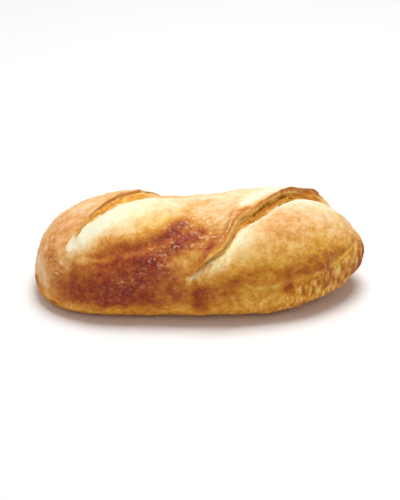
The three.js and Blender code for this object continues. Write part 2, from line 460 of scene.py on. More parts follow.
def spill_at(cut, x):
    """How far the crumb spills over the flank, or below 0, how far the frayed foot's pale colour creeps up
    over the cut's shaded crevice: partly the real foot, partly painted light.
    """
    return lerp(FOOT_CREEP_AND_PAINTED_LIGHT, cut.crumb_spill, ease(*SPILL_START, x)) * (1.0 - ease(*SPILL_END, x))


def lip_mask(distance, wandering):
    return ease(*LIP_TOP, distance) * (1.0 - ease(*LIP_FOOT, wandering))


def zone_about(cut, x, angle, drift):
    """Where points lie about a cut, at that angle before it opened."""
    distance = distance_from_cut(cut, x, angle)
    wandering = distance + BAND_DRIFT * drift[0]
    opened = ease(*OPENING_GAPE, 1.0 - shut_at(cut, gape_at(cut, x), x))
    depth = flank_depth_at(cut, x)
    start = flank_start_at(cut, x)
    share = (distance - start) / np.maximum(depth - BAND_END, LEAST_FLANK)
    spanned = between(SPAN_START, cut.flank_fading, share_of(cut.span, x))
    spill = spill_at(cut, x)
    frayed = wandering + FRAY * drift[2] * (1.0 - ease(*FRAY_END, x))
    inside = opened * (1.0 - ease(*BAND_FOOT, frayed - BAND_END - np.maximum(spill, 0.0)))
    crept = TEAR_CREEP * between(TEAR_CREEP_START, TEAR_CREEP_END, x)
    return Zone(
        distance=distance,
        share=share,
        past=distance - depth + SEAM_DRIFT * drift[1],
        lip=opened * lip_mask(distance, wandering),
        brim=opened * lip_mask(distance + crept, wandering + crept),
        band=inside * ease(*BAND_TOP, distance),
        crumb=inside * ease(*BAND_TOP, wandering + crept) * ease(*cut.crumb_start, x),
        flank=spanned * ease(*FLANK_TOP, wandering - start) * (1.0 - ease(*FLANK_FOOT, share)),
        spill=spill,
    )


def noise_at(points, wavelength, seed):
    """Smooth noise at each point, mostly between -0.5 and 0.5."""
    places = points / np.asarray(wavelength) + seed * SEED_STEP
    return np.array([noise.noise(place) for place in places.tolist()])


class Grain(NamedTuple):
    """Smooth noise on the skin: its wavelength, one size or one for each axis, its strength and its seed."""

    size: float | tuple
    strength: float
    seed: int


def grain_at(grain, points):
    return grain.strength * noise_at(points, grain.size, grain.seed)


def wander(points, sizes, seed):
    return sum(reach * noise_at(points, size, seed + step) for step, (size, reach) in enumerate(sizes))


def drift_at(points):
    """How far outlines wander along and round the roll, and how far a torn edge is frayed, in millimetres."""
    along, around = (wander(points, DRIFTS, seed) for seed in (ALONG_SEED, AROUND_SEED))
    return np.array([along, around, wander(points, FRAY_SIZES, FRAY_SEED)])


# Relief of the crust and of the torn crumb, in millimetres.
PEBBLES = Grain(2.0, 0.25, 1)
SWELLINGS = Grain(6.5, 0.6, 2)
FLANK_GRAIN = Grain(1.8, 0.13, 3)
FLANK_DIMPLES = Grain(6.0, 0.35, 4)
LIP_NICKS = Grain(2.6, 0.6, 5)
LONG_STRANDS = Grain((6.0, 1.2, 1.0), 1.0, 6)
SHORT_STRANDS = Grain((2.2, 0.8, 1.0), 0.6, 8)
PORES = Grain((2.6, 1.6, 1.0), 1.0, 7)
PORE_LEVEL = 0.16
PORE_DEPTH = 2.3
PORE_START = (2.0, 4.5)
TORN_HEIGHT = 0.4
RELIEF_LEVELS = (0.2, 2.0)


def relief(skin):
    """Height of the crust's fine relief above the smooth skin, in millimetres; none on the base."""
    left, right = skin.left, skin.right
    band = np.maximum(left.band, right.band)
    lip = np.maximum(left.lip, right.lip)
    flank = np.maximum(left.flank, right.flank) * (1.0 - band)
    plain = (1.0 - band) * (1.0 - flank)
    height = plain * (grain_at(PEBBLES, skin.point) + grain_at(SWELLINGS, skin.point))
    height += flank * (grain_at(FLANK_GRAIN, skin.point) + grain_at(FLANK_DIMPLES, skin.point))
    height += band * TORN_HEIGHT * crumb_grain(skin)
    height += lip * grain_at(LIP_NICKS, skin.point)
    return height * ease(*RELIEF_LEVELS, skin.point[:, 2])


def distance_in_band(skin):
    """Distance from the cut whose torn band a point lies in."""
    return np.where(skin.left.band > skin.right.band, skin.left.distance, skin.right.distance)


def crumb_grain(skin):
    """Strands that run along the torn bands, above 0, and pores between them, below 0."""
    across = distance_in_band(skin)
    places = np.stack([skin.x, across, np.zeros_like(across)], axis=-1)
    strands = grain_at(LONG_STRANDS, places) + grain_at(SHORT_STRANDS, places)
    pores = np.maximum(grain_at(PORES, places) - PORE_LEVEL, 0.0) * ease(*PORE_START, across)
    return strands - PORE_DEPTH * pores


class Patch(NamedTuple):
    """A patch on the skin: its middle, its half sizes along and round the roll, its strength and its slant.

    Lengths are in millimetres and angles in degrees.
    """

    x: float
    angle: float
    length: float
    girth: float
    strength: float
    slant: float = 0.0


# How far each part of the skin is baked, from 0, pale, to 1, darkest: by degrees round the roll, and by
# the share down each flank.
FRONT_BAKE = ((-180.0, -60.0, -20.0, -14.0, -4.0, 8.0, 22.0, 35.0, 60.0, 90.0, 120.0, 150.0, 180.0),
              (0.55, 0.5, 0.5, 0.62, 0.88, 0.88, 0.78, 0.66, 0.45, 0.3, 0.25, 0.4, 0.55))
END_BAKE = 0.31
WALL_BAKE = 0.5
UNDERSIDE_BAKE = 0.62
LEFT_END = (-82.0, -62.0)
RIGHT_WALL = (-8.0, 16.0)
FRONT_FADING = (55.0, 80.0)
UNDERSIDE_LEVELS = (0.0, 2.0)
LEFT_FLANK_BAKE = ((0.0, 0.3, 0.45, 0.55, 0.66, 0.77, 0.88, 1.0),
                   (0.04, 0.02, 0.07, 0.15, 0.3, 0.52, 0.7, 0.78))
RIGHT_FLANK_BAKE = ((0.0, 0.1, 0.25, 0.45, 0.6, 0.72, 0.8, 0.9, 1.0),
                    (0.1, 0.24, 0.34, 0.38, 0.38, 0.42, 0.52, 0.62, 0.48))
UNRIPE_SHARE = 0.3
LEFT_FLANK_RIPENING = (-66.0, -49.0)
LEFT_SEAM = ((-64.0, -58.0), (-46.0, -36.0))
RIGHT_SEAM = ((24.0, 34.0), (70.0, 80.0))
SEAM_TOP = 0.15
SEAM_TOP_WIDTH = 1.1
SEAM_FOOT = 0.12
SEAM_FOOT_OFFSET = 2.4
SEAM_FOOT_WIDTH = 1.4
SHARE_DRIFT = 0.02
ANGLE_DRIFT = 1.2
DRIFT_PATCH_SIZE = 9.0
STREAK_DRIFT = 0.6
BAKE_PATCHES = {
    "dark saddle": Patch(-6, 60, 9, 8, 0.45),
    "dark left of the saddle": Patch(-15, 52, 6, 5, 0.22),
    "golden left of the saddle": Patch(-18, 63, 7, 5, -0.1),
    "dark side of the left end": Patch(-67.5, 12, 5, 4, 0.11),
    "orange skin by the left tip": Patch(-68, 51, 4, 6, -0.09),
    "peach side of the left end": Patch(-78.5, 40, 3, 9, -0.12),
    "golden right of the saddle": Patch(2.5, 68, 4, 4, -0.14),
    "brown foot of the left flank": Patch(-26, 46, 8, 3.5, 0.08, 15),
    "dark skin under the left seam": Patch(-40, 35, 10, 3, 0.12, 5),
    "cream top of the left flank": Patch(-46, 66, 13, 6, -0.08, 30),
    "pale end of the left flank": Patch(-60.5, 41, 5, 4, -0.2),
    "pale left of the right flank": Patch(13, 31, 13, 6, -0.08, 35),
    "dark foot of the left flank": Patch(-20, 38, 13, 5.5, 0.34, 20),
    "dark skin left of the right cut": Patch(-21, 26, 8, 6, 0.1),
    "brown skin above the right cut": Patch(3, 40, 6, 3, 0.1, 40),
    "golden strip under the saddle": Patch(-13, -10, 8, 4, -0.1),
    "brown line under the right root": Patch(11, 2, 14, 1.6, 0.14, 2),
    "dark front": Patch(-38, 15, 16, 14, 0.07),
    "saddle's pale top": Patch(-1, 106, 13, 12, -0.07),
    "orange spot on the saddle": Patch(5, 99, 5, 2.5, 0.2),
    "pale back of the right cut": Patch(30, 105, 34, 16, -0.2),
    "pale skin left of the right cut": Patch(10, 66, 6, 6, -0.12),
    "pale top of the left end": Patch(-58, 98, 8, 4, -0.15),
    "pale side of the left end": Patch(-82, 52, 3, 16, -0.16),
    "pale skin under the left tip": Patch(-62, 36, 8, 7, -0.26),
    "brown side of the left end": Patch(-82, -2, 3.5, 11, 0.4),
    "pale line on the left end": Patch(-66.3, -5, 1.4, 6, -0.1),
    "golden foot of the left end": Patch(-67, 0, 7, 8, -0.03),
    "tan end of the left flank": Patch(-51, 49, 6, 5, 0.07),
    "left of the saddle's top": Patch(-13, 96, 12, 12, 0.09),
    "peach middle of the right flank": Patch(38, 74, 9, 10, 0.09),
    "pale side of the right tip": Patch(74, 20, 4.5, 8, -0.18),
    "dark foot of the left end": Patch(-73.5, -22, 5, 4, 0.45),
    "pale foot of the left end": Patch(-62, -15, 12, 6, -0.1),
    "golden saddle foot": Patch(-11, 37, 9, 8, -0.26),
    "brown left end": Patch(-74, 45, 3.5, 8, 0.26),
    "peach band of the left end": Patch(-77, 12, 3, 8, -0.16),
    "lighter front under the saddle": Patch(-11, 0, 10, 8, -0.2),
    "golden skin by the right cut's start": Patch(-6.5, 28, 4, 6, -0.12),
    "orange skin under the right cut's start": Patch(-8, 14, 4, 4, -0.12),
    "tan tip of the right flank": Patch(-6, 19, 2.2, 2.4, 0.2),
    "peach start of the right flank": Patch(-5, 12.5, 3.4, 3.4, -0.38),
    "brown skin under the right flank's start": Patch(2.5, 3, 3.5, 3, 0.1),
    "brown root of the right flank": Patch(11, 13, 10, 3.5, 0.18, 8),
    "brown stripe on the right flank": Patch(61, 36, 14, 5, 0.1, 25),
    "brown line low on the right flank": Patch(32, 21, 16, 2.6, 0.2, -2),
    "pale upper left of the right flank": Patch(21, 47, 9, 10, -0.2),
    "pale upper right of the right flank": Patch(58, 82, 14, 16, -0.14),
    "brown foot of the right end": Patch(69, 0, 9, 6, 0.1),
    "pale right tip": Patch(76, 42, 5, 10, -0.16),
    "brown rim of the right tip": Patch(83, 42, 3.6, 36, 0.36),
    "dark flap of the right lip": Patch(57, 108, 4, 2.5, 0.5),
    "pale wall": Patch(34, -3, 14, 10, -0.12),
    "dark spot under the saddle": Patch(-1.5, -12, 3.5, 5, 0.3),
    "dark spot under the right flank": Patch(12, 6, 4, 5, 0.12),
    "dark spot on the wall": Patch(44, 7, 2, 3.5, 0.36),
    "brown wall under the right seam": Patch(58, 12, 16, 7, 0.04, 10),
    "brown spot on the seam": Patch(62.7, 17, 1.8, 1.5, 0.25),
}


class Streak(NamedTuple):
    """A streak along a cut: its middle and half width across, where it comes and goes, and its strength."""

    across: float
    width: float
    start: tuple
    end: tuple
    strength: float


RIGHT_STREAKS = {
    "brown skin behind the lip": Streak(-6.5, 2.4, (-4, 4), (14, 26), 0.26),
    "orange edge of the lip": Streak(-0.8, 1.7, (-8, -2), (12, 20), -0.2),
    "white skin behind the lip": Streak(-6.5, 3.5, (14, 24), (44, 54), -0.22),
    "pink skin by the lip": Streak(-2.4, 1.4, (10, 18), (26, 34), 0.2),
    "pale edge of the flank": Streak(8.5, 2, (10, 24), (52, 62), -0.12),
    "tan root in the cut's start": Streak(5, 3.5, (-8, -5), (2, 10), 0.16),
}
FLOUR_PATCHES = {
    "left end": Patch(-72, 34, 6, 12, 1),
    "front": Patch(-38, 10, 9, 5, 0.5),
    "front under the saddle": Patch(-20, 34, 8, 12, 0.5),
    "right flank": Patch(40, 60, 26, 18, 0.3),
    "saddle": Patch(-5, 60, 12, 10, 0.55),
    "saddle's right": Patch(9, 78, 10, 14, 1),
    "saddle's top": Patch(-4, 105, 18, 12, 0.3),
    "wall": Patch(16, -4, 14, 10, 0.2),
    "right wall": Patch(66, 16, 12, 12, 0.45),
    "back": Patch(-10, 150, 50, 24, 0.5),
}
RIGHT_FLOUR_STREAKS = {
    "back of the lip": Streak(-6.5, 3.2, (6, 18), (40, 52), 1),
    "foot of the flank": Streak(10, 3, (-4, 4), (14, 26), 0.25),
}
FRAYED_FOOT = {"fibres": Streak(10, 3.6, (-7.5, 0), (16, 34), 1)}
FRAYED_FOOT_BAKE = 0.18
FRAYED_FOOT_STRENGTH = 0.85
FIBRES = Grain(1.5, 0.28, 9)
CLOUDS = Grain(17.0, 0.4, 10)
CLOUDS_TURN = math.radians(60.0)
CLOUDS_START = (-0.5, 0.2)
GOLD_PATCHES = {
    "right flank": Patch(36, 22, 34, 13, 1, 15),
    "right wall": Patch(40, -8, 40, 14, 1),
    "left foot": Patch(-36, -22, 44, 10, 1),
    "saddle": Patch(-20, 60, 14, 12, 0.8),
    "right end": Patch(66, 36, 11, 11, 0.9, 20),
}
ROSE_PATCHES = {
    "left end": Patch(-76, 45, 12, 26, 1),
    "top of the left end": Patch(-65, 82, 9, 13, 0.8),
    "right flank": Patch(46, 66, 18, 12, 0.5),
    "spot on the wall": Patch(47, 6, 3, 5, 1),
}
FOOT_PALENESS = 0.6
WALL_LEVELS = (8.0, 24.0)
WALL_FADING = (45.0, 65.0)
WALL_TOP = (0.5, 3.0)
WALL_FOOT = (0.2, 1.5)
LOW_WALL_STREAKS = 0.35
STREAKED_WALL = (30.0, 50.0)


def cover(patch, skin):
    """How strongly a patch covers each point, from 0 to 1."""
    drift = skin.drift * min(1.0, min(patch.length, patch.girth) / DRIFT_PATCH_SIZE)
    along = skin.x - patch.x + drift[0]
    around = wrapped(skin.angle - math.radians(patch.angle)) * GIRTH_RADIUS + drift[1]
    cosine, sine = math.cos(math.radians(patch.slant)), math.sin(math.radians(patch.slant))
    lengthwise = bell(along * cosine + around * sine, patch.length)
    return lengthwise * bell(around * cosine - along * sine, patch.girth)


def patched(patches, skin):
    return sum(patch.strength * cover(patch, skin) for patch in patches.values())


def streaked(streaks, skin):
    """Sum of the streaks along the right cut."""
    distance, spill = skin.right.distance, skin.right.spill
    across = distance - spill * ease(0.0, BAND_END, distance) + skin.drift[1] * STREAK_DRIFT
    x = skin.x + skin.drift[0]
    return sum(
        streak.strength * bell(across - streak.across, streak.width) * between(streak.start, streak.end, x)
        for streak in streaks.values()
    )


def flank_browning(bake, skin):
    """Browning with both flanks on it: each darkens towards its lower end, the left one less at its tip."""
    ripening = lerp(UNRIPE_SHARE, 1.0, ease(*LEFT_FLANK_RIPENING, skin.x))
    sway = skin.drift[1] * SHARE_DRIFT
    left = np.interp(skin.left.share + sway, *LEFT_FLANK_BAKE) * ripening
    right = np.interp(skin.right.share + sway, *RIGHT_FLANK_BAKE)
    return lerp(lerp(bake, left, skin.left.flank), right, skin.right.flank)


def browning(skin):
    """How far each point is baked, from 0, pale, to 1, darkest."""
    degrees = np.degrees(wrapped(skin.angle)) + skin.drift[1] * ANGLE_DRIFT
    bake = np.interp(degrees, *FRONT_BAKE)
    front = 1.0 - ease(*FRONT_FADING, np.abs(degrees))
    bake = lerp(END_BAKE, bake, np.maximum(ease(*LEFT_END, skin.x), 1.0 - front))
    bake = lerp(bake, WALL_BAKE, ease(*RIGHT_WALL, skin.x) * front)
    bake = flank_browning(bake, skin)
    frayed = streaked(FRAYED_FOOT, skin)
    bake = lerp(bake, FRAYED_FOOT_BAKE, FRAYED_FOOT_STRENGTH * frayed) + frayed * grain_at(FIBRES, skin.point)
    bake = bake + patched(BAKE_PATCHES, skin) + streaked(RIGHT_STREAKS, skin) + seaming(skin) + clouding(skin)
    under = 1.0 - ease(*UNDERSIDE_LEVELS, skin.point[:, 2])
    return np.clip(lerp(bake, UNDERSIDE_BAKE, under), 0.0, 1.0)


def clouding(skin):
    """Broad darker and paler clouds on the back of the roll."""
    behind = 1.0 - ease(*CLOUDS_START, np.sin(skin.angle + CLOUDS_TURN))
    return behind * grain_at(CLOUDS, skin.point)


def seam_tone(past):
    """Tone across a seam: its top stayed pale and its foot is shaded brown."""
    foot = SEAM_FOOT * bell(past - SEAM_FOOT_OFFSET, SEAM_FOOT_WIDTH)
    return foot - SEAM_TOP * bell(past, SEAM_TOP_WIDTH)


def seaming(skin):
    """Browning of the seam at each flank's lower end."""
    left = between(*LEFT_SEAM, skin.x) * seam_tone(skin.left.past)
    return left + between(*RIGHT_SEAM, skin.x) * seam_tone(skin.right.past)


def dusting(skin):
    """How thickly flour lies on each point, from 0 to 1."""
    torn = np.maximum.reduce([skin.left.crumb, skin.right.crumb, skin.left.lip, skin.right.lip])
    flour = patched(FLOUR_PATCHES, skin) + streaked(RIGHT_FLOUR_STREAKS, skin)
    return np.clip(flour, 0.0, 1.0) * (1.0 - torn)


def gilding(skin):
    """How golden each point's crust is, from 0 to 1."""
    gold = np.clip(patched(GOLD_PATCHES, skin), 0.0, 1.0)
    return gold * (1.0 - FOOT_PALENESS * streaked(FRAYED_FOOT, skin))


def blushing(skin):
    """How rosy each point's crust is, from 0 to 1."""
    return np.clip(patched(ROSE_PATCHES, skin), 0.0, 1.0)


def walling(skin):
    """How streaked each point is: most below the right seam, a little low on the right wall, nowhere else."""
    height = skin.point[:, 2]
    low = (1.0 - ease(*WALL_LEVELS, height + skin.drift[1])) * ease(*RIGHT_WALL, skin.x)
    front = 1.0 - ease(*WALL_FADING, np.degrees(skin.angle))
    seamed = front * ease(*WALL_TOP, skin.right.past) * ease(*STREAKED_WALL, skin.x)
    return ease(*WALL_FOOT, height) * np.maximum(LOW_WALL_STREAKS * low, seamed)


# Tones of the lips and of the torn crumb, from 0 to 1, and where they change.
LEFT_LIP_DARKNESS = (0.6, 0.25)
LEFT_LIP_FADING = (-44.0, -35.0)
SECOND_LINE = 0.35
SECOND_LINE_PLACE = 3.2
SECOND_LINE_WIDTH = 0.7
SECOND_LINE_SPAN = ((18.0, 26.0), (40.0, 50.0))
CRUMB_TONE = 0.45
# Painted light: the crumb in the right cut's start, deep in the crevice's shade, is lightened to stand in for
# light that it doesn't get.
PAINTED_CRUMB_LIGHT = 0.45
PAINTED_CRUMB_LIGHT_END = (14.0, 30.0)
CRUMB_CONTRAST = (0.22, 0.4)
# Under the lip the crumb is paler: partly its real paler edge, partly painted light against the shade in the
# lip's tuck.
UNDER_LIP_PALENESS_AND_PAINTED_LIGHT = 0.42
UNDER_LIP = (1.5, 4.0)
PALE_CRUMB_TOP = (-1.0, 1.0)
BRIDGE_X = -37.6
BRIDGE_WIDTH = 1.3
BRIDGE_PALENESS = 0.5
RIGHT_LIP_BROWNING = (-4.0, 18.0)


def lip_darkness(skin):
    """How brown each lip's edge is, from 0 to 1."""
    right = skin.right.brim * ease(*RIGHT_LIP_BROWNING, skin.x)
    left = skin.left.brim * lerp(*LEFT_LIP_DARKNESS, ease(*LEFT_LIP_FADING, skin.x))
    return np.maximum(left, right)


def crumb_tone(skin):
    """Tone of the torn crumb, from 0, a pore, to 1, a strand. It is paler under the lip, partly as painted
    light in the lip's shaded tuck, and lightened with painted light in the right cut's shaded start.
    """
    on_left = skin.left.band > skin.right.band
    across = distance_in_band(skin)
    line = SECOND_LINE * bell(across - SECOND_LINE_PLACE, SECOND_LINE_WIDTH)
    line = line * between(*SECOND_LINE_SPAN, skin.x)
    bridge = BRIDGE_PALENESS * bell(skin.x - BRIDGE_X, BRIDGE_WIDTH)
    # Painted light lightens the right cut's shaded start; on the left only the pale bridge is added.
    bridge_and_painted_light = np.where(on_left, bridge, PAINTED_CRUMB_LIGHT * (1.0 - ease(*PAINTED_CRUMB_LIGHT_END, skin.x)))
    # Paler under the lip: a real paler edge, with painted light over the tuck's shade.
    under_lip_pale_and_painted_light = UNDER_LIP_PALENESS_AND_PAINTED_LIGHT * (1.0 - ease(*UNDER_LIP, across))
    pale = (under_lip_pale_and_painted_light + bridge_and_painted_light) * ease(*PALE_CRUMB_TOP, across)
    grain = np.where(on_left, *CRUMB_CONTRAST) * crumb_grain(skin)
    return np.clip(CRUMB_TONE + grain + pale - line, 0.0, 1.0)


def ball_shares(bm):
    """Share along the axis and round it of each vertex of a ball with its poles along Z."""
    places = np.array([vertex.co for vertex in bm.verts])
    along = np.arccos(np.clip(-places[:, 2], -1.0, 1.0)) / np.pi
    around = np.arctan2(places[:, 1], places[:, 0]) % (2 * np.pi) / (2 * np.pi)
    return along, around


def move_vertices(bm, places):
    for vertex, place in zip(bm.verts, places.tolist()):
        vertex.co = place


def smooth_folds(bm, skin):
    """Rounds the lips' edges and the torn bands' folds."""
    nearness = np.maximum.reduce([skin.left.lip, skin.left.band, skin.right.lip, skin.right.band])
    verts = [vertex for vertex, near in zip(bm.verts, nearness) if near > FOLD_MASK_LEVEL]
    for _ in range(FOLD_SMOOTHING_ROUNDS):
        bmesh.ops.smooth_vert(
            bm, verts=verts, factor=FOLD_SMOOTHING, use_axis_x=True, use_axis_y=True, use_axis_z=True
        )


def shape_roll(bm):
    """Turns a ball into the roll, in millimetres, and returns its skin."""
    bmesh.ops.create_uvsphere(bm, u_segments=LINES, v_segments=STATIONS, radius=1.0)
    along, around = ball_shares(bm)
    x = station_at(along)
    angle = line_angle(x, line_at(around))
    places = roll_point(x, angle)
    move_vertices(bm, places)
    drift = drift_at(places)
    left, right = (zone_about(cut, x, angle, drift) for cut in CUTS)
    skin = Skin(x, angle, places, drift, left, right)
    smooth_folds(bm, skin)
    bmesh.ops.recalc_face_normals(bm, faces=bm.faces)
    bm.normal_update()
    skin = skin._replace(point=np.array([vertex.co for vertex in bm.verts]))
    normals = np.array([vertex.normal for vertex in bm.verts])
    places = skin.point + relief(skin)[:, None] * normals
    places[:, 2] = np.maximum(places[:, 2], 0.0)
    move_vertices(bm, places)
    return skin._replace(point=places)


def roll_mesh(sizes):
    bm = bmesh.new()
    skin = shape_roll(bm)
    scale = Vector((sizes.length / CAD_SIZE.x, sizes.width / CAD_SIZE.y, sizes.height / CAD_SIZE.z))
    bmesh.ops.scale(bm, vec=scale * MILLIMETRE, verts=bm.verts)
    for face in bm.faces:
        face.smooth = True
    mesh = bpy.data.meshes.new("crusty_roll")
    bm.to_mesh(mesh)
    bm.free()
    store(mesh, "bake", browning(skin))
    store(mesh, "flour", dusting(skin))
    store(mesh, "gold", gilding(skin))
    store(mesh, "rose", blushing(skin))
    store(mesh, "wall", walling(skin))
    store(mesh, "torn", np.maximum(skin.left.crumb, skin.right.crumb))
    # The crumb tone carries painted light in the cuts' shaded crevices and under the lips.
    store(mesh, "crumb", crumb_tone(skin))
    store(mesh, "lip", lip_darkness(skin))
    return mesh


def store(mesh, name, values):
    attribute = mesh.attributes.new(name, "FLOAT", "POINT")
    attribute.data.foreach_set("value", np.ascontiguousarray(values, dtype=np.float32))


# Sockets of a mix node that blends colours.
MIX_SHARE = 0
MIX_FIRST = 6
MIX_SECOND = 7
MIX_RESULT = 2


class NodeSheet:
    """Adds nodes to one material and links them, so that a finish reads as a list of steps."""

    def __init__(self, material):
        material.use_nodes = True
        self.tree = material.node_tree
        self.tree.nodes.clear()

    def feed(self, socket, value):
        if isinstance(value, bpy.types.NodeSocket):
            self.tree.links.new(value, socket)
        else:
            socket.default_value = value

    def add(self, kind, inputs, **settings):
        node = self.tree.nodes.new(kind)
        for name, value in settings.items():
            setattr(node, name, value)
        for socket, value in inputs.items():
            self.feed(node.inputs[socket], value)
        return node

    def places(self):
        return self.add("ShaderNodeTexCoord", {}).outputs["Object"]

    def attribute(self, name):
        return self.add("ShaderNodeAttribute", {}, attribute_name=name).outputs["Fac"]

    def noise(self, places, pattern):
        inputs = {
            "Vector": places,
            "Scale": 1.0 / pattern.size,
            "Detail": pattern.detail,
            "Roughness": pattern.roughness,
        }
        return self.add("ShaderNodeTexNoise", inputs).outputs["Fac"]

    def math(self, operation, first, second):
        return self.add("ShaderNodeMath", {0: first, 1: second}, operation=operation).outputs[0]

    def spread(self, value, low, high, to_low, to_high):
        inputs = {"Value": value, "From Min": low, "From Max": high, "To Min": to_low, "To Max": to_high}
        return self.add("ShaderNodeMapRange", inputs, interpolation_type="SMOOTHSTEP").outputs["Result"]

    def blend(self, share, first, second, way="MIX"):
        inputs = {MIX_SHARE: share, MIX_FIRST: first, MIX_SECOND: second}
        return self.add("ShaderNodeMix", inputs, data_type="RGBA", blend_type=way).outputs[MIX_RESULT]

    def ramp(self, value, stops):
        node = self.add("ShaderNodeValToRGB", {"Fac": value})
        elements = node.color_ramp.elements
        while len(elements) < len(stops):
            elements.new(1.0)
        for element, (position, colour) in zip(elements, stops):
            element.position = position
            element.color = colour
        return node.outputs["Color"]


def linear(colour):
    """A colour property's display values as the linear colour that a shader takes."""
    return (*Color(colour).from_srgb_to_scene_linear(), 1.0)


class Pattern(NamedTuple):
    """A noise pattern on the crust: its size in metres, its detail and how rough that is."""

    size: float
    detail: float
    roughness: float = 0.55


BAKE_STEPS = (
    ("cream", 0.0), ("straw", 0.11), ("peach", 0.21), ("honey", 0.31), ("gold", 0.45),
    ("amber", 0.6), ("brown", 0.74), ("russet", 0.87), ("maroon", 1.0),
)
CRUMB_STEPS = (("pore", 0.1), ("dark_crumb", 0.35), ("crumb", 0.58), ("strand", 0.9))
GOLD_TINT = (1.0, 1.0, 0.55, 1.0)
ROSE_TINT = (1.03, 0.94, 1.08, 1.0)
MOTTLE = Pattern(0.004, 3.0)
GRAIN = Pattern(0.0012, 2.0)
WALL_STREAKS = Pattern(0.0018, 1.0)
WALL_STREAK_STRETCH = (1.0, 0.3, 0.3)
FLOUR_FILM = Pattern(0.0021, 2.0, 0.6)
FLOUR_CLUSTERS = Pattern(0.006, 1.0)
FLOUR_DOTS = Pattern(0.0017, 0.0)
# How a value is spread: two of its levels, and what it gives at each.
MOTTLE_SPREAD = (0.28, 0.72, -0.11, 0.11)
GRAIN_SPREAD = (0.25, 0.75, -0.07, 0.07)
SPECKLE_BY_BAKE = (0.0, 0.35, 0.35, 1.0)
WALL_STREAK_SPREAD = (0.3, 0.7, -0.22, 0.2)
CRUMB_GRAIN_SPREAD = (0.25, 0.75, -0.15, 0.15)
LIP_SPREAD = (0.3, 0.6, 0.6, 1.0)
FLOUR_FILM_SPREAD = (0.44, 0.72, 0.0, 0.44)
FLOUR_CLUSTER_SPREAD = (0.4, 0.6, 0.35, 1.0)
FLOUR_DOT_SPREAD = (0.66, 0.74, 0.0, 0.8)
ROUGHNESS_BY_BAKE = (0.4, 1.0, 0.85, 0.65)
CRUST_SPECULAR = 0.15
BUMP_STRENGTH = 0.4
BUMP_DEPTH = 0.0003
FLOOR_ROUGHNESS = 0.9


def stops_of(steps, colours):
    """A ramp's stops: the place and the linear colour of each named colour."""
    return [(place, linear(getattr(colours, name))) for name, place in steps]


def crust_tone(sheet, places, mottle, grain):
    """How far each point is baked, with the crust's speckles and the right wall's streaks on it."""
    bake = sheet.attribute("bake")
    speckle = sheet.math("ADD", sheet.spread(mottle, *MOTTLE_SPREAD), sheet.spread(grain, *GRAIN_SPREAD))
    speckle = sheet.math("MULTIPLY", speckle, sheet.spread(bake, *SPECKLE_BY_BAKE))
    stretched = sheet.add("ShaderNodeMapping", {"Vector": places, "Scale": WALL_STREAK_STRETCH})
    streaks = sheet.spread(sheet.noise(stretched.outputs["Vector"], WALL_STREAKS), *WALL_STREAK_SPREAD)
    streaks = sheet.math("MULTIPLY", sheet.attribute("wall"), streaks)
    return sheet.math("ADD", sheet.math("ADD", bake, speckle), streaks)


def crust_colour(sheet, tone, colours):
    """Colour of the baked crust, more golden and rosier where its attributes say so."""
    crust = sheet.ramp(tone, stops_of(BAKE_STEPS, colours))
    golden = sheet.blend(sheet.attribute("gold"), crust, GOLD_TINT, "MULTIPLY")
    return sheet.blend(sheet.attribute("rose"), golden, ROSE_TINT, "MULTIPLY")


def torn_colour(sheet, grain, colours):
    """Colour of the torn crumb, from its pores to its strands."""
    tone = sheet.math("ADD", sheet.attribute("crumb"), sheet.spread(grain, *CRUMB_GRAIN_SPREAD))
    return sheet.ramp(tone, stops_of(CRUMB_STEPS, colours))


def flour_share(sheet, places):
    """How much of each point the flour hides: a thin film in clusters, with dots on it."""
    film = sheet.spread(sheet.noise(places, FLOUR_FILM), *FLOUR_FILM_SPREAD)
    clusters = sheet.spread(sheet.noise(places, FLOUR_CLUSTERS), *FLOUR_CLUSTER_SPREAD)
    dots = sheet.spread(sheet.noise(places, FLOUR_DOTS), *FLOUR_DOT_SPREAD)
    dust = sheet.math("MAXIMUM", sheet.math("MULTIPLY", film, clusters), dots)
    return sheet.math("MULTIPLY", sheet.attribute("flour"), dust)


def crust_material(colours):
    material = bpy.data.materials.new("baked_crust")
    sheet = NodeSheet(material)
    places = sheet.places()
    mottle = sheet.noise(places, MOTTLE)
    grain = sheet.noise(places, GRAIN)
    tone = crust_tone(sheet, places, mottle, grain)
    crust = crust_colour(sheet, tone, colours)
    colour = sheet.blend(sheet.attribute("torn"), crust, torn_colour(sheet, grain, colours))
    lip = sheet.math("MULTIPLY", sheet.attribute("lip"), sheet.spread(mottle, *LIP_SPREAD))
    colour = sheet.blend(lip, colour, linear(colours.lip))
    colour = sheet.blend(flour_share(sheet, places), colour, linear(colours.flour))
    bump = sheet.add("ShaderNodeBump", {"Height": grain, "Strength": BUMP_STRENGTH, "Distance": BUMP_DEPTH})
    shader = sheet.add("ShaderNodeBsdfPrincipled", {
        "Base Color": colour,
        "Roughness": sheet.spread(tone, *ROUGHNESS_BY_BAKE),
        "Specular IOR Level": CRUST_SPECULAR,
        "Normal": bump.outputs["Normal"],
    })
    sheet.add("ShaderNodeOutputMaterial", {"Surface": shader.outputs["BSDF"]})
    return material


def floor_material(colour):
    material = bpy.data.materials.new("pale_floor")
    sheet = NodeSheet(material)
    inputs = {"Base Color": linear(colour), "Roughness": FLOOR_ROUGHNESS}
    shader = sheet.add("ShaderNodeBsdfPrincipled", inputs)
    sheet.add("ShaderNodeOutputMaterial", {"Surface": shader.outputs["BSDF"]})
    return material


def add_object(name, data):
    made = bpy.data.objects.new(name, data)
    bpy.context.collection.objects.link(made)
    return made


def make_floor(stage):
    bm = bmesh.new()
    bmesh.ops.create_grid(bm, x_segments=1, y_segments=1, size=stage.floor_reach)
    mesh = bpy.data.meshes.new("floor")
    bm.to_mesh(mesh)
    bm.free()
    mesh.materials.append(floor_material(stage.floor_colour))
    floor = add_object("floor", mesh)


